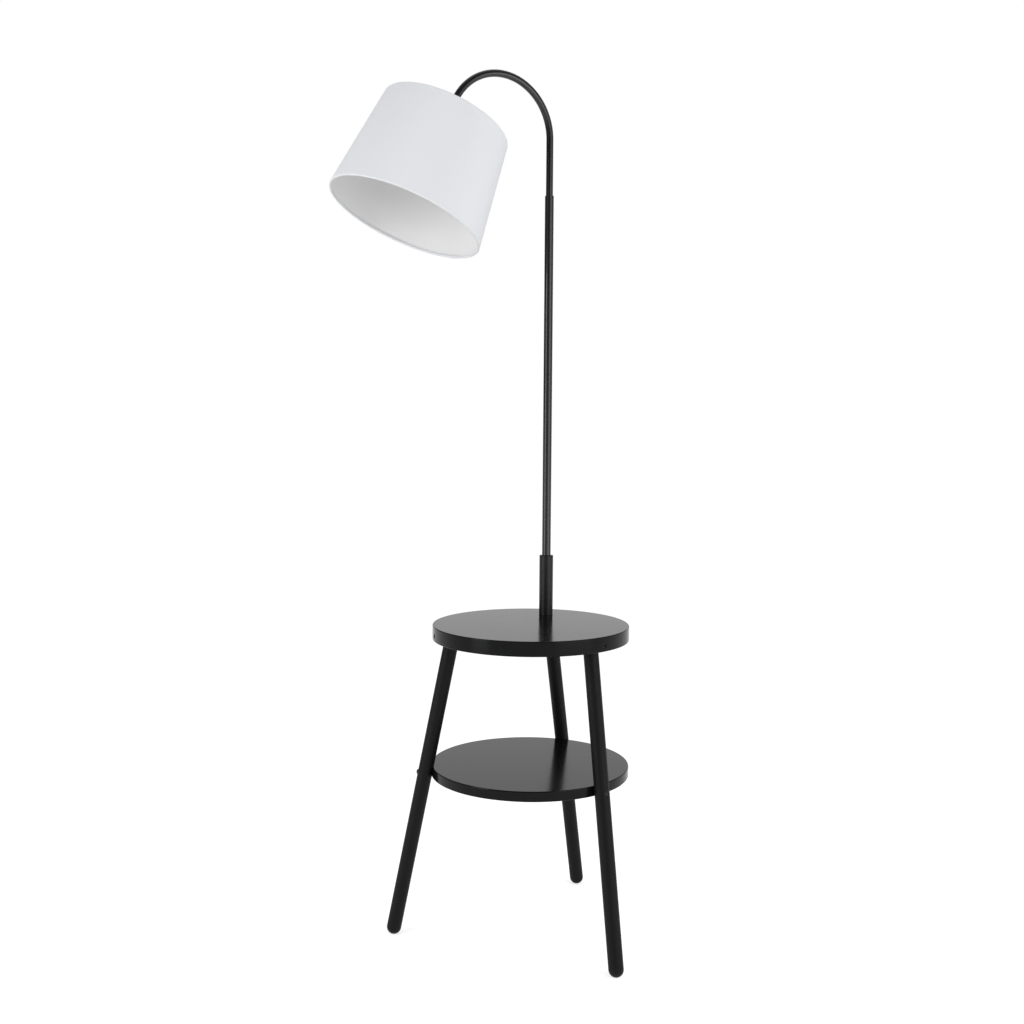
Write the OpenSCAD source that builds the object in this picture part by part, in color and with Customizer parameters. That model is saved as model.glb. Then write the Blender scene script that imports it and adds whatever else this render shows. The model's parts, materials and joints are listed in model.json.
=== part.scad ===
// Floor lamp with a round table on three splayed legs, a lower shelf and a curved arm.
// Frame: origin on the floor under the tabletop's centre, +Z up, front towards -Y.
// The back leg and the pole stand on +Y. The arm turns about the pole's axis.

/* [Tabletop] */
// Diameter of the tabletop
table_d = 350; // [300:1:450]
// Thickness of the tabletop
table_t = 26; // [22:1:40]
// Height of the tabletop's upper face above the floor
table_h = 560; // [480:1:700]
// Radius that eases the boards' upper and lower edges
edge_r = 1.5; // [0.5:0.1:3]
// Depth of the shallow seat that locates the base tube in the tabletop
base_seat_depth = 2; // [1:0.5:4]

/* [Lower shelf] */
// Height of the shelf's upper face above the floor
shelf_h = 308; // [200:1:400]
// Thickness of the shelf
shelf_t = 18; // [16:1:30]
// Depth to which each leg sits in the shelf's rim, at the shelf's upper face
scoop_depth = 3.6; // [1:0.1:6]

/* [Legs] */
// Diameter of each leg
leg_d = 26; // [22:0.5:32]
// Distance from the tabletop's rim in to a leg's axis, at the tabletop's underside
leg_inset = 31; // [26:0.5:45]
// Outward splay of each leg from upright
leg_splay = 10.8; // [5:0.1:15]
// Angle by which each foot stands round from its socket, seen from above
leg_twist = 8.5; // [-12:0.5:12]
// Thickness of board left over a leg's socket
socket_floor = 5; // [3:0.5:8]
// Gap round a leg in its socket and in the shelf's rim
socket_clear = 0.15; // [0.1:0.05:0.3]

/* [Table fasteners] */
// Shank diameter of the bolts through the tabletop's rim
rim_bolt_d = 5; // [4:0.5:6]
// Head diameter of the rim bolts
rim_head_d = 8.5; // [7:0.5:11]
// Head height of the rim bolts
rim_head_h = 5; // [3:0.5:6]
// Depth of the rim bolts' heads below the rim
rim_sink = 1.5; // [1:0.5:5]
// Height of the rim bolts above the tabletop's underside
rim_bolt_up = 10.5; // [9:0.5:12]
// Outer diameter of the threaded inserts in the legs
leg_insert_d = 8; // [7.5:0.5:10]
// Length of the threaded inserts in the legs
leg_insert_l = 16; // [12:1:18]
// Shank diameter of the bolts that hold the shelf
shelf_bolt_d = 6; // [5:0.5:7]
// Head diameter of the shelf bolts
shelf_head_d = 10.5; // [9:0.5:14]
// Height of the shelf bolts' domed heads
shelf_head_h = 4; // [3:0.5:6]
// Depth of the flat cut in a leg to seat a shelf bolt's head
spot_depth = 1.2; // [0.5:0.1:2]
// Outer diameter of the threaded inserts in the shelf
shelf_insert_d = 9; // [8.5:0.5:11]
// Length of the threaded inserts in the shelf
shelf_insert_l = 20; // [14:1:30]
// Gap round a bolt, its head or the stud in a hole that it passes through
bolt_clear = 0.2; // [0.1:0.1:0.4]

/* [Pole] */
// Clear gap between the back leg and the washer under the pole
pole_gap = 5.8; // [3:0.1:20]
// Outer diameter of the base tube
base_d = 25.4; // [22:0.1:32]
// Wall of the base tube
base_wall = 1.5; // [1:0.1:2.5]
// Height of the base tube and its cap above the tabletop
base_h = 111; // [60:1:200]
// Thickness of the cap's flange on the base tube
base_cap_t = 2.5; // [1.5:0.5:5]
// Length of the cap's spigot inside the base tube
base_cap_spigot = 12; // [6:1:30]
// Outer diameter of the two pole sections
pole_d = 16; // [15.6:0.1:20]
// Wall of the pole sections
pole_wall = 1; // [0.8:0.05:1.1]
// Length of the lower pole section
lower_pole_l = 334; // [200:1:500]
// Length of the upper pole section
upper_pole_l = 323; // [200:1:500]
// Length of the threaded inserts in the pole's ends
pole_insert_l = 22; // [16:1:40]
// Length of thread held in each insert
thread_grip = 18; // [10:1:20]
// Bevel on the pole sections' ends
tube_bevel = 0.4; // [0.2:0.1:0.6]
// Outer diameter of the hollow stud and the hollow nipple
stud_d = 10; // [9:0.5:11]
// Bore of the hollow stud and the hollow nipple
stud_bore = 7; // [6.4:0.1:7.5]
// Length of stud that stands out below its nut
stud_tail = 4; // [2:0.5:10]
// Diameter of the washer under the tabletop
washer_d = 28; // [20:1:36]
// Thickness of the washer under the tabletop
washer_t = 2; // [1:0.5:4]
// Width across flats of the nut under the tabletop
nut_af = 17; // [15:0.5:19]
// Height of the nut under the tabletop
nut_h = 6; // [4:0.5:9]

/* [Arm] */
// Outer diameter of the curved arm
arm_d = 12.7; // [12.2:0.1:12.9]
// Wall of the curved arm
arm_wall = 1.2; // [1:0.1:1.3]
// Length of the arm inside the pole
arm_plug_l = 60; // [30:1:100]
// Height of the straight arm above the pole
arm_rise = 100; // [20:1:300]
// Radius of the arm's bend at its centre line
bend_r = 103; // [80:1:140]
// Length of the straight arm after its bend
arm_tail = 44; // [30:1:80]
// Swing of the arm at rest from straight over the table
arm_swing = -43.5; // [-170:0.5:170]
// Thickness of the plug that the arm stands on
swivel_seat_t = 8; // [4:1:20]
// Radial clearance of the arm in its friction sleeve
swivel_fit = 0.06; // [0.03:0.01:0.09]
// Length of the nipple inside the arm's end
nipple_in = 14; // [8:1:25]

/* [Lampholder] */
// Outer diameter of the lampholder's cap
cap_d = 38; // [37:0.5:46]
// Height of the lampholder's cap
cap_h = 22; // [20:1:30]
// Wall of the lampholder's cap
cap_wall = 2; // [1.5:0.1:2.4]
// Radius of the cap's shoulder
cap_shoulder_r = 9; // [6:0.5:11]
// Length of the lampholder's neck inside its cap
neck_l = 8; // [5:1:10]
// Outer diameter of the lampholder's threaded barrel
barrel_d = 39.2; // [37:0.2:41]
// Length of the lampholder's body below its cap
barrel_l = 40; // [38:1:55]
// Diameter of the shoulder that the shade's carrier seats on
shoulder_d = 46; // [43:1:52]
// Thickness of that shoulder
shoulder_t = 3; // [2:0.5:5]
// Bore of the screw shell that takes the bulb
socket_bore = 26.2; // [26:0.1:26.6]
// Wall of the screw shell
socket_wall = 0.6; // [0.4:0.1:0.8]
// Length of the screw shell
socket_l = 24; // [20:1:24]
// Thickness of the insulating core
core_t = 10; // [6:1:12]
// Height of the screw terminals
terminal_h = 5; // [3:0.5:6]
// Diameter of the screw terminals
terminal_d = 5; // [4:0.5:6]
// Diameter of the spring contact's foot
contact_d = 10; // [7:0.5:12]
// Height of the spring contact
contact_h = 4; // [2:0.5:4.5]

/* [Shade] */
// Outer diameter of the shade at its top
shade_top_d = 230; // [180:1:300]
// Outer diameter of the shade at its bottom
shade_bottom_d = 276; // [180:1:360]
// Height of the shade along its axis
shade_h = 190; // [120:1:260]
// Tilt of the shade's axis from upright
shade_tilt = 25; // [10:1:45]
// Height of the shade's top edge above the arm's end
shade_rise = 5; // [0:1:15]
// Diameter of the shade's wires
wire_d = 3; // [2:0.5:5]
// Thickness of the shade's fabric
fabric_t = 0.5; // [0.4:0.1:1]
// Thickness of the stiff liner behind the fabric
liner_t = 0.4; // [0.3:0.1:0.8]
// Diameter of the carrier's inner ring, across its outer edge
carrier_d = 54; // [50:1:60]
// Thickness of the carrier's inner ring
carrier_t = 2; // [1:0.5:3]
// Number of spokes in the carrier
spokes = 3; // [3:1:6]
// Diameter of the ring nut under the carrier
ring_nut_d = 57; // [52:1:64]
// Height of the ring nut under the carrier
ring_nut_h = 9; // [7:0.5:14]

/* [Supply lead] */
// Diameter of the supply lead inside the tubes
lead_d = 5.2; // [4.8:0.1:5.6]
// Diameter of the lead's two cores
core_d = 2; // [1.5:0.1:2.5]

/* [Hidden] */

$fn = 96;
// Gap between pieces of one body that slide into each other
slip = 0.1;
// Gap between flat ends that meet
end_gap = 0.1;
// Length that a cut runs past the surface it opens
past = 1;
leg_count = 3;
back_angle = 90;
left_angle = back_angle + 360 / leg_count;
right_angle = left_angle + 360 / leg_count;
hex_sides = 6;

black_wood = "#1c1c1e";
black_paint = "#18181a";
black_plastic = "#141416";
zinc = "#b4b6b8";
brass = "#c9a449";
porcelain = "#ece8e0";
white_cloth = "#eceef0";
white_liner = "#f2f0ea";
grey_sheath = "#2a2a2c";

// Legs. Each is drawn with its socket on +X, then turned to its own angle.
underside_h = table_h - table_t;
leg_top_r = table_d / 2 - leg_inset;
foot_r = leg_top_r + underside_h * tan(leg_splay);
leg_top = [leg_top_r, 0, underside_h];
leg_foot = [foot_r * cos(leg_twist), -foot_r * sin(leg_twist), 0];
leg_run = leg_foot - leg_top;
leg_tilt = acos(-leg_run.z / norm(leg_run));
leg_lean = atan2(leg_run.y, leg_run.x);
leg_end_h = table_h - socket_floor - socket_clear - leg_d / 2 * sin(leg_tilt);
leg_l = (leg_end_h - leg_d / 2) / cos(leg_tilt);

// Point on a leg's axis at a height, and that point's distance and angle from the table's axis
function leg_point(h) = leg_foot - leg_run * h / underside_h;
function leg_dist(h) = norm([leg_point(h).x, leg_point(h).y]);
function leg_angle(h) = atan2(leg_point(h).y, leg_point(h).x);
// Half width of a leg's level section towards the table's axis
function leg_half(h) =
    let (turn = leg_lean - leg_angle(h))
    norm([leg_d / 2 * sin(turn), leg_d / 2 / cos(leg_tilt) * cos(turn)]);

// Lower shelf: the legs sit in scoops in its rim
shelf_r = leg_dist(shelf_h) - leg_half(shelf_h) + scoop_depth;

// Bolts
rim_bolt_h = underside_h + rim_bolt_up;
rim_out = table_d / 2 - leg_dist(rim_bolt_h);
rim_seat = rim_out - rim_sink - rim_head_h;
leg_insert_out = leg_half(rim_bolt_h) - past;
leg_insert_in = leg_insert_out - leg_insert_l;
shelf_bolt_h = shelf_h - shelf_t / 2;
// End of a shelf insert, measured from the leg's axis, so that it stays clear of the leg and the rim
shelf_insert_end = min(
    shelf_r - leg_dist(shelf_bolt_h),
    -leg_half(shelf_bolt_h) - socket_clear - shelf_insert_d / 2 * tan(leg_tilt)
);
shelf_seat = leg_half(shelf_bolt_h) - spot_depth;
tip_room = 2;
hex_key_share = 0.5;

// Pole
pole_y = leg_top_r - leg_d / 2 / cos(leg_tilt) - pole_gap - washer_d / 2;
base_foot_h = table_h - base_seat_depth;
base_top_h = table_h + base_h;
joint_h = base_top_h + lower_pole_l;
pole_top_h = joint_h + upper_pole_l;
stud_foot_h = underside_h - washer_t - nut_h - stud_tail;
pole_bore = pole_d - 2 * pole_wall;
bush_flange_t = 1.5;
bush_spigot = 6;
bush_inset = 0.2;
bush_flange_d = stud_d - 2 * bush_inset;

// Arm, drawn with the pole's axis on Z and the bend towards -Y
arm_foot_h = pole_top_h - arm_plug_l;
bend_h = pole_top_h + arm_rise;
bend_sweep = 180 - shade_tilt;
arm_bore = arm_d - 2 * arm_wall;
// The straight tail is a hair larger than the bend and starts a little way inside it
tail_swell = 0.1;
tail_lap = 1;
nipple_d = arm_bore - tail_swell - slip;

// Lampholder and shade, drawn with the arm's end at the origin and the arm above it
cap_crown = 1;
cap_top_wall = cap_wall + cap_crown;
cap_nut_t = 4;
cap_nut_wall = 2.5;
cap_nut_af = nipple_d + 2 * cap_nut_wall;
nipple_end = 3;
nipple_out = cap_top_wall + cap_nut_t + nipple_end;
neck_wall = 1;
neck_d = cap_d - 2 * cap_wall - 2 * slip;
neck_bore = neck_d - 2 * neck_wall;
core_drop = 1;
core_top = -cap_h - shoulder_t - core_drop;
ledge = core_top - core_t;
contact_lift = 0.5;
terminal_out_share = 1.6;
terminal_out = terminal_d * terminal_out_share;
barrel_end = -cap_h - barrel_l;
shell_d = socket_bore + 2 * socket_wall;
shell_room = 0.5;
barrel_bore = shell_d + 2 * shell_room;
carrier_top = -cap_h - shoulder_t - slip;
carrier_room = 0.6;
carrier_bore = barrel_d + 2 * carrier_room;
nut_top = carrier_top - carrier_t - slip;
hem_r = wire_d / 2 + slip + fabric_t;
top_wire = [shade_top_d / 2 - hem_r, shade_rise - hem_r];
bottom_wire = [shade_bottom_d / 2 - hem_r, shade_rise - shade_h + hem_r];
slant = bottom_wire - top_wire;
along = slant / norm(slant);
outward = [-along.y, along.x];
hem_proud = 0.15;
hem_end = hem_r + slip;
spoke_share = 0.8;
spoke_d = wire_d * spoke_share;
spoke_start = [carrier_d / 2 - spoke_d / 2, carrier_top - carrier_t + spoke_d / 2];

// Places

// Origin on the axis of a leg at a height, +Z pointing straight out from the table's axis
module outward_at(h) {
    translate(leg_point(h)) rotate([0, 0, leg_angle(h)]) rotate([0, 90, 0]) children();
}

// Origin at the centre of a leg's domed foot, +Z up the leg
module up_the_leg() {
    translate(leg_point(leg_d / 2)) rotate([0, -leg_tilt, leg_lean]) children();
}

module each_leg() {
    for (i = [0 : leg_count - 1]) rotate([0, 0, back_angle + i * 360 / leg_count]) children();
}

module on_pole() {
    translate([0, pole_y, 0]) children();
}

module on_arm() {
    on_pole() rotate([0, 0, arm_swing]) children();
}

// Origin on the arm's line where its bend starts
module at_bend() {
    on_arm() translate([0, 0, bend_h]) children();
}

// Origin on the arm's line where its bend ends, +Z back up the arm
module past_bend() {
    translate([0, -bend_r, 0])
        translate([0, bend_r * cos(bend_sweep), bend_r * sin(bend_sweep)])
        rotate([-shade_tilt, 0, 0])
        children();
}

// Origin at the arm's end, +Z back up the arm
module at_head() {
    at_bend() past_bend() translate([0, 0, -arm_tail]) children();
}

// Shapes

module tube(d, bore, low, high) {
    difference() {
        translate([0, 0, low]) cylinder(d = d, h = high - low);
        translate([0, 0, low - past]) cylinder(d = bore, h = high - low + 2 * past);
    }
}

// Tube with both outer edges bevelled
module bevelled_tube(d, bore, low, high) {
    rotate_extrude()
        polygon([
            [bore / 2, low], [d / 2 - tube_bevel, low], [d / 2, low + tube_bevel],
            [d / 2, high - tube_bevel], [d / 2 - tube_bevel, high], [bore / 2, high]
        ]);
}

// Round board with eased edges
module board(d, thick) {
    rotate_extrude() {
        square([d / 2 - edge_r, thick]);
        translate([0, edge_r]) square([d / 2, thick - 2 * edge_r]);
        for (h = [edge_r, thick - edge_r]) {
            intersection() {
                translate([d / 2 - edge_r, h]) circle(r = edge_r);
                square([d, thick]);
            }
        }
    }
}

module ring_wire(centre) {
    rotate_extrude() translate(centre) circle(d = wire_d);
}

// Line of the arm: the first child is the section up to the bend's end, the second the tail's
module arm_run() {
    at_bend() {
        translate([0, 0, arm_foot_h - bend_h]) linear_extrude(bend_h - arm_foot_h) children(0);
        translate([0, -bend_r, 0])
            rotate([90, 0, 90])
            rotate_extrude(angle = bend_sweep)
            translate([bend_r, 0])
            children(0);
        past_bend() translate([0, 0, -arm_tail]) linear_extrude(arm_tail + tail_lap) children(1);
    }
}

module arm_section(swell) {
    difference() {
        circle(d = arm_d + swell);
        circle(d = arm_bore - swell);
    }
}

// Table

module tabletop() {
    color(black_wood) difference() {
        translate([0, 0, underside_h]) board(table_d, table_t);
        each_leg() {
            up_the_leg() cylinder(d = leg_d + 2 * socket_clear, h = leg_l + socket_clear);
            outward_at(rim_bolt_h) {
                cylinder(d = rim_bolt_d + 2 * bolt_clear, h = rim_out + past);
                translate([0, 0, rim_seat])
                    cylinder(d = rim_head_d + 2 * bolt_clear, h = rim_sink + rim_head_h + past);
            }
        }
        on_pole() {
            translate([0, 0, underside_h - past])
                cylinder(d = stud_d + 2 * bolt_clear, h = table_t + 2 * past);
            translate([0, 0, base_foot_h])
                cylinder(d = base_d + 2 * slip, h = base_seat_depth + past);
        }
    }
}

module lower_shelf() {
    bore_end = shelf_insert_end - shelf_insert_l - end_gap;
    color(black_wood) difference() {
        translate([0, 0, shelf_h - shelf_t]) board(2 * shelf_r, shelf_t);
        each_leg() {
            up_the_leg() cylinder(d = leg_d + 2 * socket_clear, h = leg_l);
            outward_at(shelf_bolt_h)
                translate([0, 0, bore_end])
                cylinder(d = shelf_insert_d + 2 * slip, h = -bore_end);
        }
    }
}

module leg(angle) {
    color(black_wood) rotate([0, 0, angle]) difference() {
        up_the_leg() rotate_extrude() {
            square([leg_d / 2, leg_l]);
            intersection() {
                circle(d = leg_d);
                translate([0, -leg_d / 2]) square([leg_d / 2, leg_d / 2 + past]);
            }
        }
        outward_at(rim_bolt_h)
            translate([0, 0, leg_insert_in - end_gap])
            cylinder(d = leg_insert_d + 2 * slip, h = leg_insert_l + end_gap + 2 * past + leg_d);
        outward_at(shelf_bolt_h) {
            translate([0, 0, -leg_d])
                cylinder(d = shelf_bolt_d + 2 * bolt_clear, h = 2 * leg_d);
            translate([0, 0, shelf_seat])
                cylinder(d = shelf_head_d + 2 * bolt_clear, h = leg_d);
        }
    }
}

module leg_back() {
    leg(back_angle);
}

module leg_left() {
    leg(left_angle);
}

module leg_right() {
    leg(right_angle);
}

// Threaded insert: a sleeve with three grooves round it
module threaded_insert(d, bore, low, long) {
    groove = 0.4;
    difference() {
        tube(d, bore, low, low + long);
        for (share = [0.25, 0.5, 0.75])
            tube(d + past, d - 2 * groove, low + share * long - groove, low + share * long + groove);
    }
}

// Socket bolts sunk in the tabletop's rim
module rim_bolts() {
    tip = leg_insert_in + tip_room;
    color(black_paint) each_leg() outward_at(rim_bolt_h) difference() {
        union() {
            translate([0, 0, tip]) cylinder(d = rim_bolt_d, h = rim_seat - tip + end_gap);
            translate([0, 0, rim_seat]) cylinder(d = rim_head_d, h = rim_head_h);
        }
        translate([0, 0, rim_seat + rim_head_h / 2])
            cylinder(d = rim_head_d * hex_key_share, h = rim_head_h, $fn = hex_sides);
    }
}

module leg_inserts() {
    color(zinc) each_leg() outward_at(rim_bolt_h)
        threaded_insert(leg_insert_d, rim_bolt_d + slip, leg_insert_in, leg_insert_l);
}

// Bolts with domed heads, from outside through each leg into the shelf
module shelf_bolts() {
    tip = shelf_insert_end - shelf_insert_l + tip_room;
    dome_r = (pow(shelf_head_d / 2, 2) + pow(shelf_head_h, 2)) / (2 * shelf_head_h);
    color(black_paint) each_leg() outward_at(shelf_bolt_h) difference() {
        union() {
            translate([0, 0, tip]) cylinder(d = shelf_bolt_d, h = shelf_seat - tip + end_gap);
            intersection() {
                translate([0, 0, shelf_seat]) cylinder(d = shelf_head_d, h = shelf_head_h);
                translate([0, 0, shelf_seat + shelf_head_h - dome_r]) sphere(r = dome_r);
            }
        }
        translate([0, 0, shelf_seat + shelf_head_h / 2])
            cylinder(d = shelf_head_d * hex_key_share, h = shelf_head_h, $fn = hex_sides);
    }
}

module shelf_inserts() {
    color(zinc) each_leg() outward_at(shelf_bolt_h)
        threaded_insert(
            shelf_insert_d, shelf_bolt_d + slip, shelf_insert_end - shelf_insert_l, shelf_insert_l
        );
}

// Pole

module base_tube() {
    color(black_paint) on_pole()
        tube(base_d, base_d - 2 * base_wall, base_foot_h, base_top_h - base_cap_t);
}

module base_cap() {
    flange_h = base_top_h - base_cap_t;
    spigot_d = base_d - 2 * base_wall - 2 * slip;
    color(black_paint) on_pole() difference() {
        union() {
            bevelled_tube(base_d, stud_d, flange_h, base_top_h);
            translate([0, 0, flange_h - base_cap_spigot])
                cylinder(d = spigot_d, h = base_cap_spigot + end_gap);
        }
        translate([0, 0, flange_h - base_cap_spigot - past])
            cylinder(d = stud_d + 2 * slip, h = base_cap_spigot + base_cap_t + 2 * past);
    }
}

module hollow_stud() {
    color(zinc) on_pole() tube(stud_d, stud_bore, stud_foot_h, base_top_h + thread_grip);
}

module stud_washer() {
    color(zinc) on_pole()
        tube(washer_d, stud_d + 2 * bolt_clear, underside_h - washer_t, underside_h);
}

module stud_nut() {
    color(zinc) on_pole() difference() {
        translate([0, 0, underside_h - washer_t - nut_h])
            cylinder(d = nut_af / cos(180 / hex_sides), h = nut_h, $fn = hex_sides);
        translate([0, 0, underside_h - washer_t - nut_h - past])
            cylinder(d = stud_d + slip, h = nut_h + 2 * past);
    }
}

// Plastic bush where the lead leaves the stud's lower end
module lead_bush() {
    color(black_plastic) on_pole() {
        tube(bush_flange_d, lead_d + 2 * slip, stud_foot_h - bush_flange_t, stud_foot_h);
        tube(stud_bore - slip, lead_d + 2 * slip, stud_foot_h - end_gap, stud_foot_h + bush_spigot);
    }
}

module pole_insert(low) {
    color(zinc) on_pole() tube(pole_bore - slip, stud_d + slip, low, low + pole_insert_l);
}

module lower_pole() {
    color(black_paint) on_pole() bevelled_tube(pole_d, pole_bore, base_top_h, joint_h);
}

module lower_pole_foot() {
    pole_insert(base_top_h);
}

module lower_pole_head() {
    pole_insert(joint_h - pole_insert_l);
}

module pole_nipple() {
    color(zinc) on_pole() tube(stud_d, stud_bore, joint_h - thread_grip, joint_h + thread_grip);
}

module upper_pole() {
    color(black_paint) on_pole() bevelled_tube(pole_d, pole_bore, joint_h, pole_top_h);
}

module upper_pole_foot() {
    pole_insert(joint_h);
}

// Plug in the upper pole that the arm stands on
module swivel_seat() {
    color(zinc) on_pole()
        tube(pole_bore - slip, stud_bore, arm_foot_h - end_gap - swivel_seat_t, arm_foot_h - end_gap);
}

// Friction sleeve between the pole and the arm
module swivel_sleeve() {
    color(black_plastic) on_pole()
        tube(pole_bore - slip, arm_d + 2 * swivel_fit, arm_foot_h - end_gap, pole_top_h - end_gap);
}

module lead_in_pole() {
    low = stud_foot_h - bush_flange_t;
    color(grey_sheath) on_pole()
        translate([0, 0, low])
        cylinder(d = lead_d, h = arm_foot_h - end_gap - low);
}

// Arm

module arm_tube() {
    color(black_paint) arm_run() {
        arm_section(0);
        arm_section(tail_swell);
    }
}

module arm_nipple() {
    color(zinc) at_head() tube(nipple_d, stud_bore, -nipple_out, nipple_in);
}

module lead_in_arm() {
    core_spread = 0.6;
    split_h = -nipple_out;
    core_start = [core_d * core_spread, split_h + core_d / 2];
    core_stop = [terminal_out, core_top + terminal_h + core_d / 2];
    core_run = core_stop - core_start;
    color(grey_sheath) {
        arm_run() {
            circle(d = lead_d);
            circle(d = lead_d + tail_swell);
        }
        at_head() {
            translate([0, 0, split_h]) cylinder(d = lead_d, h = -split_h);
            for (side = [0, 180]) {
                rotate([0, 0, side])
                    translate([core_start.x, 0, core_start.y])
                    rotate([0, atan2(core_run.x, core_run.y), 0])
                    cylinder(d = core_d, h = norm(core_run));
            }
        }
    }
}

// Lampholder

module holder_cap() {
    inner_r = cap_d / 2 - cap_wall;
    inner_shoulder = cap_shoulder_r - cap_wall;
    color(black_plastic) at_head() rotate_extrude() difference() {
        union() {
            translate([0, -cap_h]) square([cap_d / 2, cap_h - cap_shoulder_r]);
            translate([0, -cap_h]) square([cap_d / 2 - cap_shoulder_r, cap_h]);
            intersection() {
                translate([cap_d / 2 - cap_shoulder_r, -cap_shoulder_r]) circle(r = cap_shoulder_r);
                translate([0, -cap_h]) square([cap_d, cap_h]);
            }
        }
        translate([0, -cap_h - past])
            square([inner_r, cap_h + past - cap_top_wall - inner_shoulder]);
        translate([0, -cap_h - past])
            square([inner_r - inner_shoulder, cap_h + past - cap_top_wall]);
        intersection() {
            translate([inner_r - inner_shoulder, -cap_top_wall - inner_shoulder])
                circle(r = inner_shoulder);
            translate([0, -cap_h]) square([cap_d, cap_h]);
        }
        translate([0, -cap_h]) square([nipple_d / 2 + slip, cap_h + past]);
    }
}

module cap_nut() {
    color(zinc) at_head() difference() {
        translate([0, 0, -cap_top_wall - cap_nut_t])
            cylinder(d = cap_nut_af / cos(180 / hex_sides), h = cap_nut_t, $fn = hex_sides);
        translate([0, 0, -cap_top_wall - cap_nut_t - past])
            cylinder(d = nipple_d + slip, h = cap_nut_t + 2 * past);
    }
}

module holder_body() {
    color(black_plastic) at_head() rotate_extrude() polygon([
        [neck_bore / 2, -cap_h + neck_l], [neck_d / 2, -cap_h + neck_l], [neck_d / 2, -cap_h],
        [shoulder_d / 2, -cap_h], [shoulder_d / 2, -cap_h - shoulder_t],
        [barrel_d / 2, -cap_h - shoulder_t], [barrel_d / 2, barrel_end],
        [barrel_bore / 2, barrel_end], [barrel_bore / 2, ledge], [neck_bore / 2, ledge]
    ]);
}

// Insulating core, with a recess under it for the spring contact
module holder_core() {
    recess_room = 1;
    color(porcelain) at_head() difference() {
        translate([0, 0, ledge]) cylinder(d = neck_bore - 2 * slip, h = core_t);
        translate([0, 0, ledge - past])
            cylinder(d = contact_d + 2 * recess_room, h = contact_lift + contact_h + past);
    }
}

module terminals() {
    slot_w = 1;
    slot_depth = 1;
    color(brass) at_head() for (side = [-1, 1]) {
        translate([side * terminal_out, 0, core_top]) difference() {
            cylinder(d = terminal_d, h = terminal_h);
            translate([-terminal_d, -slot_w / 2, terminal_h - slot_depth])
                cube([2 * terminal_d, slot_w, slot_depth + past]);
        }
    }
}

// Spring contact that meets the bulb's foot
module centre_contact() {
    foot_t = 0.8;
    color(brass) at_head() {
        translate([0, 0, ledge + contact_lift]) cylinder(d = contact_d / 2, h = contact_h);
        translate([0, 0, ledge + contact_lift + contact_h - foot_t])
            cylinder(d = contact_d, h = foot_t);
    }
}

module screw_shell() {
    color(brass) at_head() tube(shell_d, socket_bore, ledge - socket_l, ledge);
}

// Shade

module shade_ring_nut() {
    notches = 12;
    notch_d = 5;
    flange_t = 3;
    flange_out = 3.5;
    skirt_d = ring_nut_d - 2 * flange_out;
    color(black_plastic) at_head() difference() {
        union() {
            tube(ring_nut_d, barrel_d + 2 * slip, nut_top - flange_t, nut_top);
            tube(skirt_d, barrel_d + 2 * slip, nut_top - ring_nut_h, nut_top - flange_t + slip);
        }
        for (i = [0 : notches - 1])
            rotate([0, 0, i * 360 / notches])
                translate([ring_nut_d / 2 + notch_d / 4, 0, nut_top - ring_nut_h - past])
                cylinder(d = notch_d, h = ring_nut_h + 2 * past);
    }
}

// One spoke, from the carrier's inner ring to a given distance short of the top wire's centre
module spoke(d, short = 0) {
    run = top_wire - spoke_start;
    translate([spoke_start.x, 0, spoke_start.y])
        rotate([0, atan2(run.x, run.y), 0])
        cylinder(d = d, h = norm(run) - short);
}

module spoke_notches() {
    each_spoke() spoke(spoke_d + 4 * slip, spoke_d / 4);
}

module each_spoke() {
    for (i = [0 : spokes - 1]) rotate([0, 0, i * 360 / spokes]) children();
}

module shade_carrier() {
    color(white_liner) at_head() {
        ring_wire(top_wire);
        tube(carrier_d, carrier_bore, carrier_top - carrier_t, carrier_top);
        each_spoke() spoke(spoke_d);
    }
}

module shade_bottom_wire() {
    color(white_liner) at_head() ring_wire(bottom_wire);
}

// Stiff liner, glued inside the fabric between the two wires
module shade_liner() {
    outer = hem_r - hem_proud - fabric_t - slip;
    inner = outer - liner_t;
    top_end = top_wire + along * hem_end;
    bottom_end = bottom_wire - along * hem_end;
    color(white_liner) at_head() rotate_extrude() polygon([
        top_end + outward * outer, bottom_end + outward * outer,
        bottom_end + outward * inner, top_end + outward * inner
    ]);
}

// Fabric, rolled round both wires, with the rolls a little proud of the rest
module shade_fabric() {
    outer = hem_r - hem_proud;
    color(white_cloth) at_head() difference() {
        rotate_extrude() difference() {
            union() {
                polygon([
                    bottom_wire + outward * outer, top_wire + outward * outer,
                    top_wire + outward * (outer - fabric_t), bottom_wire + outward * (outer - fabric_t)
                ]);
                for (wire = [top_wire, bottom_wire]) translate(wire) circle(r = hem_r);
            }
            for (wire = [top_wire, bottom_wire]) translate(wire) circle(r = hem_r - fabric_t);
        }
        spoke_notches();
    }
}

tabletop();
lower_shelf();
leg_back();
leg_left();
leg_right();
rim_bolts();
leg_inserts();
shelf_bolts();
shelf_inserts();
base_tube();
base_cap();
hollow_stud();
stud_washer();
stud_nut();
lead_bush();
lower_pole();
lower_pole_foot();
lower_pole_head();
pole_nipple();
upper_pole();
upper_pole_foot();
swivel_seat();
swivel_sleeve();
lead_in_pole();
arm_tube();
arm_nipple();
lead_in_arm();
holder_cap();
cap_nut();
holder_body();
holder_core();
terminals();
centre_contact();
screw_shell();
shade_ring_nut();
shade_carrier();
shade_bottom_wire();
shade_liner();
shade_fabric();
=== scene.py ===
"""Looks of the floor lamp with table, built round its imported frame. All lengths are in metres."""

import json
import math
from itertools import accumulate, pairwise

import bmesh
import bpy
from mathutils import Matrix, Vector, noise


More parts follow.
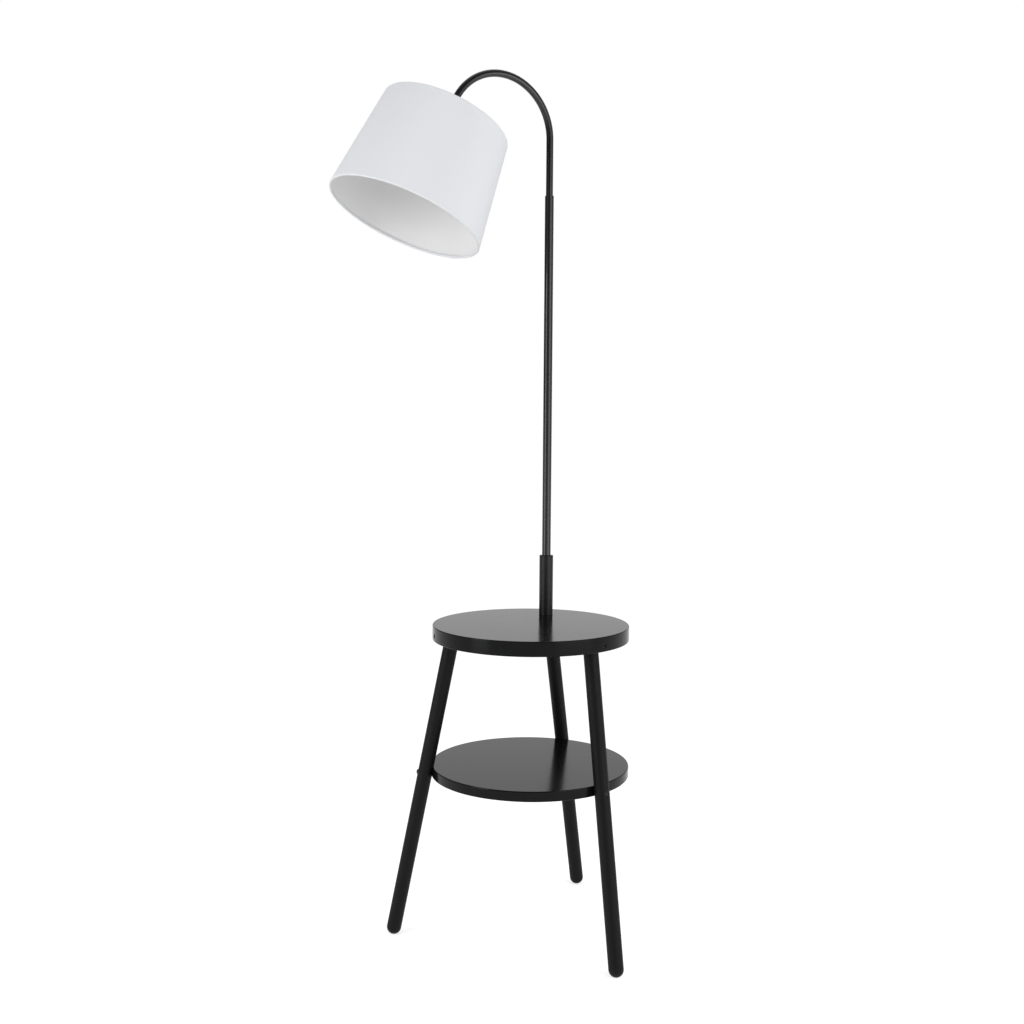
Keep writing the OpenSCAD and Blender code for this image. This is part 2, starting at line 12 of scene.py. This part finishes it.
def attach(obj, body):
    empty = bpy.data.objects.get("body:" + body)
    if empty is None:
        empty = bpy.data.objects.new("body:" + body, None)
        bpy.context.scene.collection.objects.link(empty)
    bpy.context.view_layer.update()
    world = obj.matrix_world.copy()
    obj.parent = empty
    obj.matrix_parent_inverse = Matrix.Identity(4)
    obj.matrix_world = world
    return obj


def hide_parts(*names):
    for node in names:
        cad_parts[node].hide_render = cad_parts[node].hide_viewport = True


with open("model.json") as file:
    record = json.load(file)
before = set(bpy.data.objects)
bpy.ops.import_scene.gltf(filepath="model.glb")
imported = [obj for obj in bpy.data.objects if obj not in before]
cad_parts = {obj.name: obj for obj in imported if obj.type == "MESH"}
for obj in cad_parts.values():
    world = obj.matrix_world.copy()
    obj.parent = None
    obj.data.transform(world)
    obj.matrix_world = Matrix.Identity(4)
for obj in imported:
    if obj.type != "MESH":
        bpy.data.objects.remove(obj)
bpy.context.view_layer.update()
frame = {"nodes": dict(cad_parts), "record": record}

# Camera, placed round the middle of the table
CAMERA_HEADING = 15.5      # degrees that it looks to the left of straight ahead
CAMERA_AWAY = 2.2408       # its distance from the table's axis, along its heading
CAMERA_ASIDE = -0.0347     # its distance to the right of the table's axis
CAMERA_HEIGHT = 0.9437
CAMERA_PITCH = 4.69        # degrees downwards
CAMERA_ROLL = 0.37         # degrees
CAMERA_LENS = 44.63e-3
SENSOR_WIDTH = 36e-3
MM_PER_METRE = 1000        # Blender takes the lens and the sensor in millimetres

# Light. A level of 1 is white.
WHITE = (1, 1, 1, 1)
FILL_LEVEL = 0.52          # light from all round, except what gloss reflects
FRONT_LEVEL = 0.1          # what gloss shows of the studio on the camera's side
BACKDROP = [               # what it shows behind the lamp: places from left, 0, to right, 1, and levels
    (0.0, 0.08), (0.22, 0.1), (0.36, 1.0), (0.66, 1.0), (0.82, 0.6), (1.0, 0.5)
]
BACKDROP_FADE = -0.5, 0.1  # the backdrop fades in as a ray turns from backwards, -1, to ahead, 1
FLOOR_COLOUR = 0.8
FLOOR_GLOW = 0.6           # the floor's own light, which only the camera and gloss see
FLOOR_SIZE = 24.0
AIM_HEIGHT = 0.85          # height on the lamp that the softboxes look at
SOFTBOXES = {              # bearing to the right of the camera, width, height, level
    "softbox_right": (50, 1.9, 1.7, 2.8),
    "softbox_left": (-58, 0.8, 1.7, 5.4),
}
SOFTBOX_AWAY = 2.3
SOFTBOX_HEIGHT = 1.05

# Cloth of the shade
CLOTH_T = 0.5e-3           # thickness of the cloth
WIRE_GAP = 0.1e-3          # gap between a wire and the cloth round it
CLOTH_OUT = 1.8e-3         # middle of the cloth outside the line that joins the wires' centres
HEM_BLEND = 4e-3           # length over which a hem's roll runs out into the cloth
HEM_TUCK = 289             # degrees that the cloth is rolled round a wire, ending at the liner
HEM_STEPS = 22
SPOKE_TUCK = 150           # degrees of roll that are left where a spoke passes the top hem
SEAM_AT = 105              # degrees round the shade from the first spoke
SEAM_LAP = 12e-3           # width of the lap
SEAM_RISE = 0.56e-3        # rise of the upper layer over the lower one
SEAM_COLUMNS = 3           # columns of the cloth over which it rises
SEAM_UNTUCK = 40           # degrees by which the upper layer is rolled less
SPOKES = 3
COLUMNS_PER_SPOKE = 96
CLOTH_ROWS = 48
RIPPLE = 0.12e-3           # height of the cloth's unevenness
RIPPLE_SIZE = 45e-3
THREAD_PITCH = 0.55e-3
RIM_SHARE = 0.05           # share of a wire's radius within which its outermost points lie

NOISE_SPAN = 0.3, 0.7      # the range that noise mostly fills


# Node trees and materials

class NodeTree:
    """The shader nodes of a material or a world."""

    def __init__(self, owner):
        owner.use_nodes = True
        self.nodes, self.links = owner.node_tree.nodes, owner.node_tree.links

    def set(self, node, socket, value):
        """Gives a node's input a constant, or links it to another node's output."""
        if isinstance(value, bpy.types.NodeSocket):
            self.links.new(value, node.inputs[socket])
        else:
            node.inputs[socket].default_value = value

    def add(self, kind, inputs=None, **settings):
        """A new node, with its inputs by name or number."""
        node = self.nodes.new("ShaderNode" + kind)
        for name, value in settings.items():
            setattr(node, name, value)
        for socket, value in (inputs or {}).items():
            self.set(node, socket, value)
        return node

    def math(self, operation, *values):
        return self.add("Math", dict(enumerate(values)), operation=operation).outputs[0]

    def span(self, value, start, end=(0.0, 1.0), **settings):
        """`value` taken from one range to another."""
        inputs = {"Value": value, "From Min": start[0], "From Max": start[1]}
        inputs.update({"To Min": end[0], "To Max": end[1]})
        return self.add("MapRange", inputs, **settings).outputs["Result"]


class Recipe(NodeTree):
    """A material made of nodes. Constants go straight onto its shader's sockets."""

    def __init__(self, name, **constants):
        self.material = bpy.data.materials.new(name)
        super().__init__(self.material)
        self.shader = self.nodes["Principled BSDF"]
        self.output = self.nodes["Material Output"]
        for socket, value in constants.items():
            self.set(self.shader, socket.replace("_", " "), value)

    def place(self, stretch=(1, 1, 1), source="Object"):
        """The surface's own coordinates in metres, times a stretch along each axis."""
        coordinates = self.add("TexCoord").outputs[source]
        return self.add("Mapping", {"Vector": coordinates, "Scale": stretch}).outputs["Vector"]

    def noise(self, size, stretch=(1, 1, 1), detail=3.0, source="Object"):
        """Noise from 0 to 1 whose features are about `size` metres wide."""
        inputs = {"Vector": self.place(stretch, source), "Scale": 1 / size, "Detail": detail}
        return self.add("TexNoise", inputs).outputs["Fac"]

    def colour(self, value, first, second):
        """A colour between two, by a value from 0 to 1."""
        node = self.add("Mix", {"Factor": value}, data_type="RGBA")
        start, end = [socket for socket in node.inputs if socket.type == "RGBA"]
        start.default_value, end.default_value = (*first, 1), (*second, 1)
        result = next(socket for socket in node.outputs if socket.type == "RGBA")
        self.set(self.shader, "Base Color", result)

    def roughness(self, value, low, high):
        """A roughness that goes from low to high over the range that noise mostly fills."""
        self.set(self.shader, "Roughness", self.span(value, NOISE_SPAN, (low, high)))

    def relief(self, *layers):
        """Bump from layers of (height from 0 to 1, depth in metres)."""
        normal = None
        for height, depth in layers:
            bump = self.add("Bump", {"Strength": 1.0, "Distance": depth, "Height": height})
            if normal is not None:
                self.set(bump, "Normal", normal)
            normal = bump.outputs["Normal"]
        self.set(self.shader, "Normal", normal)


def grey(level, tint=0.0):
    """A grey that leans to blue by `tint`."""
    return level * (1 - tint), level * (1 - tint / 2), level * (1 + tint)


def black_board():
    """Satin black lacquer, sprayed on board."""
    look = Recipe("black_board", IOR=1.5, Specular_IOR_Level=0.11)
    mottle = look.noise(60e-3)
    peel = look.noise(2.6e-3, detail=1.0)
    dust = look.noise(0.5e-3, detail=2.0)
    look.colour(mottle, grey(0.004, 0.06), grey(0.0052, 0.06))
    look.roughness(mottle, 0.16, 0.175)
    look.relief((peel, 10e-6), (dust, 2.5e-6))
    return look.material


def black_leg():
    """Satin black lacquer on turned wood, with the grain telegraphing through."""
    look = Recipe("black_leg", IOR=1.5, Specular_IOR_Level=0.15)
    along_leg = (1, 1, 0.05)
    grain = look.noise(2.2e-3, along_leg, detail=5.0)
    pores = look.noise(0.7e-3, along_leg, detail=2.0)
    peel = look.noise(3e-3, detail=1.0)
    look.colour(grain, grey(0.0035, 0.05), grey(0.005, 0.05))
    look.roughness(grain, 0.5, 0.6)
    look.relief((grain, 22e-6), (pores, 9e-6), (peel, 8e-6))
    return look.material


def black_tube():
    """Satin black powder coat on steel tube."""
    look = Recipe("black_tube", IOR=1.5, Specular_IOR_Level=0.5)
    mottle = look.noise(30e-3)
    texture = look.noise(0.8e-3, detail=2.0)
    flow = look.noise(3.5e-3, detail=1.0)
    look.colour(mottle, grey(0.0045, 0.05), grey(0.0065, 0.05))
    look.roughness(mottle, 0.27, 0.31)
    look.relief((flow, 9e-6), (texture, 4e-6))
    return look.material


def black_base():
    """The same powder coat on the base tube, more matt."""
    look = Recipe("black_base", IOR=1.5, Specular_IOR_Level=0.3)
    mottle = look.noise(30e-3)
    texture = look.noise(0.8e-3, detail=2.0)
    look.colour(mottle, grey(0.0045, 0.05), grey(0.0065, 0.05))
    look.roughness(mottle, 0.4, 0.46)
    look.relief((texture, 8e-6))
    return look.material


def black_fastener():
    """Black oxide on steel bolts."""
    look = Recipe("black_fastener", Metallic=0.6, IOR=1.5)
    wear = look.noise(1.8e-3, detail=4.0)
    grit = look.noise(0.25e-3)
    look.colour(wear, grey(0.016, 0.04), grey(0.034, 0.04))
    look.roughness(wear, 0.34, 0.48)
    look.relief((grit, 5e-6))
    return look.material


def zinc():
    """Zinc plating, a little uneven, with fine turning marks."""
    look = Recipe("zinc", Metallic=1.0)
    spangle = look.noise(1.5e-3, detail=4.0)
    marks = look.noise(0.3e-3, (0.3, 0.3, 3.0), detail=2.0)
    look.colour(spangle, (0.55, 0.56, 0.57), (0.66, 0.67, 0.67))
    look.roughness(spangle, 0.28, 0.42)
    look.relief((marks, 6e-6))
    return look.material


def brass():
    """Plain brass, slightly tarnished."""
    look = Recipe("brass", Metallic=1.0)
    tarnish = look.noise(3e-3, detail=4.0)
    marks = look.noise(0.4e-3, detail=2.0)
    look.colour(tarnish, (0.60, 0.42, 0.16), (0.74, 0.55, 0.24))
    look.roughness(tarnish, 0.24, 0.4)
    look.relief((marks, 5e-6))
    return look.material


def porcelain():
    """White glazed insulator."""
    look = Recipe("porcelain", IOR=1.52, Coat_Weight=0.5, Coat_Roughness=0.08)
    cloud = look.noise(6e-3)
    look.colour(cloud, (0.76, 0.74, 0.68), (0.82, 0.80, 0.75))
    look.roughness(cloud, 0.2, 0.3)
    look.relief((look.noise(1.2e-3), 12e-6))
    return look.material


def black_plastic():
    """Moulded black plastic with a fine spark-eroded grain."""
    look = Recipe("black_plastic", IOR=1.5, Specular_IOR_Level=0.45)
    mottle = look.noise(12e-3)
    grain = look.noise(0.45e-3, detail=2.0)
    look.colour(mottle, grey(0.012, 0.04), grey(0.017, 0.04))
    look.roughness(grain, 0.42, 0.56)
    look.relief((grain, 14e-6))
    return look.material


def lead_sheath():
    """Dark plastic sheath of the supply lead."""
    look = Recipe("lead_sheath", IOR=1.5, Specular_IOR_Level=0.4)
    scuff = look.noise(2e-3, detail=4.0)
    look.colour(scuff, grey(0.022), grey(0.032))
    look.roughness(scuff, 0.45, 0.6)
    look.relief((scuff, 12e-6))
    return look.material


def white_wire():
    """White powder coat on the shade's wires and spokes."""
    look = Recipe("white_wire", IOR=1.5)
    flow = look.noise(1.6e-3, detail=2.0)
    look.colour(look.noise(20e-3), (0.76, 0.765, 0.76), (0.81, 0.81, 0.80))
    look.roughness(flow, 0.36, 0.46)
    look.relief((flow, 12e-6))
    return look.material


def shade_liner():
    """Stiff white liner, matt, with a faint orange peel."""
    look = Recipe("shade_liner", IOR=1.46, Specular_IOR_Level=0.35)
    cloud = look.noise(50e-3)
    peel = look.noise(1.5e-3, detail=1.0)
    look.colour(cloud, (0.845, 0.845, 0.845), (0.88, 0.88, 0.88))
    look.roughness(peel, 0.5, 0.62)
    look.relief((peel, 10e-6))
    return look.material


def shade_fabric():
    """Fine plain-woven cloth: threads both ways, a few of them slubbed."""
    look = Recipe("shade_fabric", IOR=1.45, Specular_IOR_Level=0.2, Sheen_Weight=0.12)
    look.set(look.shader, "Sheen Roughness", 0.5)
    across = look.add("SeparateXYZ", {"Vector": look.place(source="UV")})
    turn = math.pi / THREAD_PITCH
    warp = look.math("SINE", look.math("MULTIPLY", across.outputs["X"], turn))
    weft = look.math("SINE", look.math("MULTIPLY", across.outputs["Y"], turn))
    weave = look.math("MULTIPLY_ADD", look.math("MULTIPLY", warp, weft), 0.5, 0.5)
    warp_slub = look.noise(1.2e-3, (1, 0.03, 1), detail=2.0, source="UV")
    weft_slub = look.noise(1.2e-3, (0.03, 1, 1), detail=2.0, source="UV")
    slub = look.math("MULTIPLY", look.math("ADD", warp_slub, weft_slub), 0.5)
    look.colour(slub, (0.77, 0.785, 0.812), (0.818, 0.832, 0.858))
    look.roughness(weave, 0.78, 0.9)
    look.relief((slub, 60e-6), (weave, 45e-6))
    return look.material


LOOKS = [
    black_board, black_leg, black_tube, black_base, black_fastener, black_plastic, zinc, brass,
    porcelain, lead_sheath, white_wire, shade_liner, shade_fabric
]
OWN_LOOKS = {"base_tube": "black_base", "base_cap": "black_base"}


def dress_nodes(materials):
    """Gives each CAD node the material of its slot, or its own where it differs from its slot's."""
    for subpart in frame["record"]["subparts"]:
        node = frame["nodes"][subpart["node"]]
        look = OWN_LOOKS.get(subpart["node"], subpart["material_slot"])
        for place in node.material_slots:
            place.material = materials[look]


def add_object(name, data):
    """A new object in the scene."""
    thing = bpy.data.objects.new(name, data)
    bpy.context.scene.collection.objects.link(thing)
    return thing


def mesh_object(name, build):
    """A finished bmesh as an object in the scene."""
    mesh = bpy.data.meshes.new(name)
    build.to_mesh(mesh)
    build.free()
    return add_object(name, mesh)


# The shade's cloth

class Shade:
    """The shade's own frame: +Z up its axis, +X towards its first spoke, origin at the socket."""

    def __init__(self):
        mounts = frame["record"]["mounts"]
        socket = next(mount for mount in mounts if mount["name"] == "bulb_socket")
        up = -Vector(socket["axis"])
        side = up.cross(Vector((0, 0, 1))).normalized()
        turn = Matrix([side, up.cross(side), up]).transposed().to_4x4()
        self.to_world = Matrix.Translation(socket["pos_m"]) @ turn
        points = self.ring_points("shade_bottom_wire")
        self.wire_r = (max(r for r, h in points) - min(r for r, h in points)) / 2
        self.bottom_wire = self.outer_ring(points)
        self.top_wire = self.outer_ring(self.ring_points("shade_carrier"))
        self.along = (self.bottom_wire - self.top_wire).normalized()
        self.outward = Vector((-self.along.y, self.along.x))
        self.slant = (self.bottom_wire - self.top_wire).length

    def ring_points(self, name):
        """A node's vertices as (distance from the axis, height along it)."""
        to_shade = self.to_world.inverted()
        local = [to_shade @ vertex.co for vertex in frame["nodes"][name].data.vertices]
        return [(math.hypot(p.x, p.y), p.z) for p in local]

    def outer_ring(self, points):
        """The centre of the wire whose outermost points these hold."""
        reach = max(r for r, h in points)
        heights = [h for r, h in points if r > reach - self.wire_r * RIM_SHARE]
        return Vector((reach - self.wire_r, (min(heights) + max(heights)) / 2))


def hem_arc(centre, shade, side, radius, tuck):
    """Cloth rolled round a wire, from the outside round to its tucked end. `side` is -1 at the top."""
    points = []
    for step in range(HEM_STEPS + 1):
        angle = math.radians(tuck) * step / HEM_STEPS
        out, past = radius * math.cos(angle), side * radius * math.sin(angle)
        points.append(centre + shade.outward * out + shade.along * past)
    return points


def cloth_profile(shade, rise):
    """The middle of the cloth from its top tuck to its bottom one, as (radius, height) points."""
    radius = shade.wire_r + WIRE_GAP + CLOTH_T / 2 + rise
    tuck = HEM_TUCK - SEAM_UNTUCK * rise / SEAM_RISE
    top = hem_arc(shade.top_wire, shade, -1, radius, tuck)
    bottom = hem_arc(shade.bottom_wire, shade, 1, radius, tuck)
    wall = []
    for row in range(1, CLOTH_ROWS):
        down = shade.slant * (1 - math.cos(math.pi * row / CLOTH_ROWS)) / 2
        to_wire = min(down, shade.slant - down)
        roll = max(0.0, 1 - to_wire / HEM_BLEND)
        proud = (radius - rise - CLOTH_OUT) * smooth(roll)
        wall.append(shade.top_wire + shade.along * down + shade.outward * (CLOTH_OUT + proud + rise))
    return top[::-1] + wall + bottom


def smooth(value):
    """A value from 0 to 1 that eases in and out."""
    value = min(max(value, 0.0), 1.0)
    return value * value * (3 - 2 * value)


def cloth_column(build, shade, angle, rise, across):
    """One column of the cloth's vertices, each with its place on the flat cloth."""
    profile = cloth_profile(shade, rise)
    lengths = ((after - before).length for before, after in pairwise(profile))
    column = []
    for point, down in zip(profile, accumulate(lengths, initial=0.0)):
        spot = Vector((point.x * math.cos(angle), point.x * math.sin(angle), point.y))
        ripple = RIPPLE * max(0, noise.noise(spot / RIPPLE_SIZE))
        spot += Vector((math.cos(angle), math.sin(angle), 0)) * ripple
        column.append((build.verts.new(shade.to_world @ spot), Vector((across, down))))
    return column


def cloth_faces(build, uv, grid, first):
    """The cloth's faces. Where a spoke passes the top hem, the end of the tuck is cut out."""
    cut = HEM_STEPS - (HEM_STEPS * SPOKE_TUCK // HEM_TUCK + 1)
    for column, (left, right) in enumerate(pairwise(grid)):
        at_spoke = round(first + column + 0.5) % COLUMNS_PER_SPOKE == 0
        for row in range(cut if at_spoke else 0, len(left) - 1):
            corners = (left[row], left[row + 1], right[row + 1], right[row])
            face = build.faces.new([vertex for vertex, place in corners])
            face.smooth = True
            for loop, (vertex, place) in zip(face.loops, corners):
                loop[uv].uv = place


def shade_cloth(shade):
    """The cover: one sheet, lapped at its side seam, rolled round both wires and cut out at the spokes."""
    build = bmesh.new()
    uv = build.loops.layers.uv.new("cloth")
    columns = SPOKES * COLUMNS_PER_SPOKE
    step = 2 * math.pi / columns
    first = round(math.radians(SEAM_AT) / step) + 0.5  # so that a spoke meets the middle of a face
    lap = math.ceil(SEAM_LAP / (step * shade.bottom_wire.x))
    grid = []
    for column in range(columns + lap + 1):
        rise = SEAM_RISE * smooth((column - columns + SEAM_COLUMNS) / SEAM_COLUMNS)
        across = column * step * shade.bottom_wire.x
        grid.append(cloth_column(build, shade, (first + column) * step, rise, across))
    cloth_faces(build, uv, grid, first)
    loose = [vertex for vertex in build.verts if not vertex.link_faces]
    bmesh.ops.delete(build, geom=loose, context="VERTS")
    bmesh.ops.recalc_face_normals(build, faces=build.faces)
    area = sum(face.calc_area() for face in build.faces)
    cover = mesh_object("shade_cover", build)
    thick = cover.modifiers.new("thickness", "SOLIDIFY")
    thick.thickness = CLOTH_T
    thick.offset = 0
    return cover, area


def dress_shade(materials):
    """Puts the cover in place of the plain cloth solid."""
    shade = Shade()
    cover, area = shade_cloth(shade)
    cover.data.materials.append(materials["shade_fabric"])
    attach(cover, "arm")
    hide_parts("shade_fabric")


# Studio

def heading_turn():
    """The turn from straight ahead to the camera's heading."""
    return Matrix.Rotation(math.radians(CAMERA_HEADING), 4, "Z")


def make_camera():
    """The camera at the photograph's angle."""
    data = bpy.data.cameras.new("camera")
    data.sensor_width = SENSOR_WIDTH * MM_PER_METRE
    data.lens = CAMERA_LENS * MM_PER_METRE
    camera = add_object("camera", data)
    place = Matrix.Translation((CAMERA_ASIDE, -CAMERA_AWAY, CAMERA_HEIGHT))
    tilt = Matrix.Rotation(math.radians(90 - CAMERA_PITCH), 4, "X")
    roll = Matrix.Rotation(math.radians(CAMERA_ROLL), 4, "Z")
    camera.matrix_world = heading_turn() @ place @ tilt @ roll
    bpy.context.scene.camera = camera


def make_softbox(name, bearing, width, height, level):
    """A softbox that looks at the lamp, `bearing` degrees to the right of the camera."""
    data = bpy.data.lights.new(name, "AREA")
    data.shape = "RECTANGLE"
    data.size, data.size_y = width, height
    data.energy = level * math.pi * width * height
    light = add_object(name, data)
    turn = heading_turn() @ Matrix.Rotation(math.radians(bearing), 4, "Z")
    place = turn @ Vector((0, -SOFTBOX_AWAY, SOFTBOX_HEIGHT))
    light.location = place
    aim = Vector((0, 0, AIM_HEIGHT)) - place
    light.rotation_euler = aim.to_track_quat("-Z", "Y").to_euler()


class Surroundings(NodeTree):
    """White to the camera and an even fill. Gloss shows the backdrop, and a dim studio in front."""

    def __init__(self):
        world = bpy.data.worlds.new("surroundings")
        bpy.context.scene.world = world
        super().__init__(world)
        self.nodes.clear()
        shown, seen, fill = self.light(self.studio()), self.light(1.0), self.light(FILL_LEVEL)
        path = self.add("LightPath").outputs
        gloss = self.add("MixShader", {0: path["Is Glossy Ray"], 1: fill, 2: shown}).outputs[0]
        either = self.add("MixShader", {0: path["Is Camera Ray"], 1: gloss, 2: seen}).outputs[0]
        self.add("OutputWorld", {"Surface": either})

    def light(self, level):
        """White light of a level."""
        return self.add("Background", {"Color": WHITE, "Strength": level}).outputs[0]

    def along(self, way):
        """How far a ray points one way as the camera sees it, from -1 to 1."""
        around = self.add("TexCoord").outputs["Generated"]
        inputs = {0: around, 1: heading_turn() @ Vector(way)}
        return self.add("VectorMath", inputs, operation="DOT_PRODUCT").outputs["Value"]

    def studio(self):
        """The level that gloss shows in each direction."""
        ramp = self.add("ValToRGB", {"Fac": self.span(self.along((1, 0, 0)), (-1.0, 1.0))})
        stops = ramp.color_ramp.elements
        for position, _ in BACKDROP[1:-1]:
            stops.new(position)
        for stop, (position, level) in zip(stops, BACKDROP):
            stop.position = position
            stop.color = (*grey(level), 1)
        behind = self.span(self.along((0, 1, 0)), BACKDROP_FADE, interpolation_type="SMOOTHSTEP")
        levels = {"Factor": behind, "A": FRONT_LEVEL, "B": ramp.outputs["Color"]}
        return self.add("Mix", levels, data_type="FLOAT").outputs["Result"]


def make_floor():
    """A pale floor that is white to the camera wherever no shadow falls on it."""
    build = bmesh.new()
    bmesh.ops.create_grid(build, x_segments=1, y_segments=1, size=FLOOR_SIZE / 2)
    floor = mesh_object("floor", build)
    colour = (*grey(FLOOR_COLOUR), 1)
    look = Recipe("floor", Specular_IOR_Level=0.0, Roughness=1.0, Base_Color=colour)
    path = look.add("LightPath")
    seen = look.math("MAXIMUM", path.outputs["Is Camera Ray"], path.outputs["Is Glossy Ray"])
    strength = look.math("MULTIPLY", seen, FLOOR_GLOW)
    glow = look.add("Emission", {"Color": WHITE, "Strength": strength})
    both = look.add("AddShader", {0: look.shader.outputs[0], 1: glow.outputs[0]})
    look.set(look.output, "Surface", both.outputs[0])
    floor.data.materials.append(look.material)


make_camera()
materials = {look.__name__: look() for look in LOOKS}
dress_nodes(materials)
dress_shade(materials)
Surroundings()
make_floor()
for name, softbox in SOFTBOXES.items():
    make_softbox(name, *softbox)
bpy.context.scene.view_settings.view_transform = "Standard"
